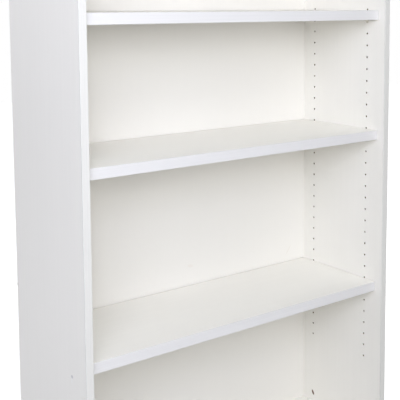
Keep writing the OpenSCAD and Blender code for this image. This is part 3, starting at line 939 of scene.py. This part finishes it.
class BOOKCASE_OT_bands(bpy.types.Operator):
    """Gives the edge bands their ABS finish and glue line"""

    bl_idname = "bookcase.bands"
    bl_label = "Edge bands"

    def execute(self, context):
        settings = context.scene.bookcase.bands
        carcass, shelf = settings.carcass, settings.shelf
        # Node, colour, the axis along it, the axis across its glue line and which of its ends.
        bands = [(f"side_band_{side}", carcass, Z, Y, 1) for side in SIDES]
        bands += [(f"top_band_{side}", carcass, Y, X, end) for side, end in zip(SIDES, (1, 0))]
        bands += [(node, carcass, X, Y, 1) for node in ("top_band_front", "bottom_band")]
        bands += [(f"shelf_band_{n}", shelf, X, Y, 1) for n in SHELVES]
        for node, rgb, along, across, end in bands:
            glued = span(node, across)[end]
            dress(abs_edge_band(f"abs_band_{node}", rgb, along, across, glued), node)
        return {"FINISHED"}


class BOOKCASE_OT_back(bpy.types.Operator):
    """Lacquers the front of the back panel and leaves its rear raw"""

    bl_idname = "bookcase.back"
    bl_label = "Back panel"

    def execute(self, context):
        front = span("back_panel", Y)[0]
        marks = [((x, front, z), *rest) for (x, z), *rest in BACK_MARKS]
        dress(lacquered_hardboard("lacquered_hardboard", front, marks), "back_panel")
        return {"FINISHED"}


class BOOKCASE_OT_supports(bpy.types.Operator):
    """Plates the plug-in shelf supports"""

    bl_idname = "bookcase.supports"
    bl_label = "Shelf supports"

    def execute(self, context):
        rgb = context.scene.bookcase.fittings.nickel
        # Cast in zinc and nickel-plated: a warm, soft shine over the casting's faint ripple.
        material = metal("nickel_plated_zinc", rgb, rough=0.3, grain=0.8, relief=0.01)
        points, faces = support_form()
        for shelf in SHELVES:
            for side, inwards in zip(SIDES, (1, -1)):
                for column in COLUMNS:
                    node = f"support_{shelf}_{side}_{column}"
                    outer = span(node, X)[0 if inwards > 0 else 1]
                    middle, top = sum(span(node, Y)) / 2, span(node, Z)[1]
                    hole = np.array([outer + inwards * PEG, middle, top - BEARING])
                    half_turn = np.array([inwards, inwards, 1])
                    form = points * half_turn + hole, faces
                    make_piece(f"plug_in_{node}", form, material, node)
        return {"FINISHED"}


class BOOKCASE_OT_fittings(bpy.types.Operator):
    """Finishes the cams, bolts, dowels, covers, screws and glides"""

    bl_idname = "bookcase.fittings"
    bl_label = "Fittings"

    def execute(self, context):
        settings = context.scene.bookcase.fittings
        # Cast in a steel die and left bare: matt grey with a fine uneven skin.
        cast = metal("die_cast_zinc", settings.zinc, rough=0.5, grain=0.6, relief=0.05)
        dress(cast, "cams")
        # Cold-headed steel with bright zinc plating: a cool shine, duller where it was handled.
        plated = metal("zinc_plated_steel", settings.plate, rough=0.32, grain=0.5, relief=0.01)
        beech = turned_beech("turned_beech")
        pitch = settings.pitch / MM
        at_joint = [(end - way * BOLT_TIP, way) for end, way in far_ends("cam_bolts")]
        bolts = copied(*cam_bolt_form(pitch), at_joint)
        make_piece("threaded_cam_bolts", bolts, plated, "cam_bolts")
        heads = [(end, -way) for end, way in far_ends("back_screws")]
        screws = copied(*back_screw_form(pitch), heads)
        make_piece("countersunk_back_screws", screws, plated, "back_screws")
        at_joint = [(end - way * DOWEL_TIP, way) for end, way in far_ends("dowels")]
        dowels = copied(*dowel_form(), at_joint)
        make_piece("fluted_dowels", dowels, beech, "dowels")
        dress(moulded_plastic("moulded_polystyrene", settings.cover, rough=0.4), "cam_covers")
        dress(moulded_plastic("moulded_polyethylene", settings.glide, rough=0.5), "glides")
        return {"FINISHED"}


class BOOKCASE_OT_stage(bpy.types.Operator):
    """Sets up the floor, the room light, the lamps and the camera"""

    bl_idname = "bookcase.stage"
    bl_label = "Stage"

    def execute(self, context):
        settings = context.scene.bookcase.stage
        context.scene.view_settings.view_transform = "Standard"
        make_floor(settings)
        light_room(settings)
        for name, *placing in LAMPS:
            make_lamp(name, getattr(settings, name), *placing)
        make_camera(settings)
        return {"FINISHED"}


STEPS = (
    BOOKCASE_OT_boards, BOOKCASE_OT_bands, BOOKCASE_OT_back, BOOKCASE_OT_supports,
    BOOKCASE_OT_fittings, BOOKCASE_OT_stage,
)


class BOOKCASE_PT_finishes(bpy.types.Panel):
    """Lists the steps that dress the bookcase, and their settings"""

    bl_idname = "BOOKCASE_PT_finishes"
    bl_label = "Bookcase"
    bl_space_type = "VIEW_3D"
    bl_region_type = "UI"
    bl_category = "Bookcase"

    def draw(self, context):
        for step in STEPS:
            self.layout.operator(step.bl_idname)
        settings = context.scene.bookcase
        for group in ("boards", "bands", "back", "fittings", "stage"):
            box = self.layout.box()
            box.label(text=group.capitalize())
            part = getattr(settings, group)
            for name in part.__annotations__:
                box.prop(part, name)


CLASSES = (
    BookcaseBoardSettings, BookcaseBandSettings, BookcaseBackSettings, BookcaseFittingSettings,
    BookcaseStageSettings, BookcaseSettings,
) + STEPS + (BOOKCASE_PT_finishes,)


def register():
    """Adds the classes and the scene's settings."""
    for cls in CLASSES:
        bpy.utils.register_class(cls)
    bpy.types.Scene.bookcase = bpy.props.PointerProperty(type=BookcaseSettings)


def unregister():
    """Takes them away again."""
    del bpy.types.Scene.bookcase
    for cls in reversed(CLASSES):
        bpy.utils.unregister_class(cls)


def main():
    """Runs every step."""
    register()
    for step in STEPS:
        group, name = step.bl_idname.split(".")
        getattr(getattr(bpy.ops, group), name)()


if __name__ == "__main__":
    main()
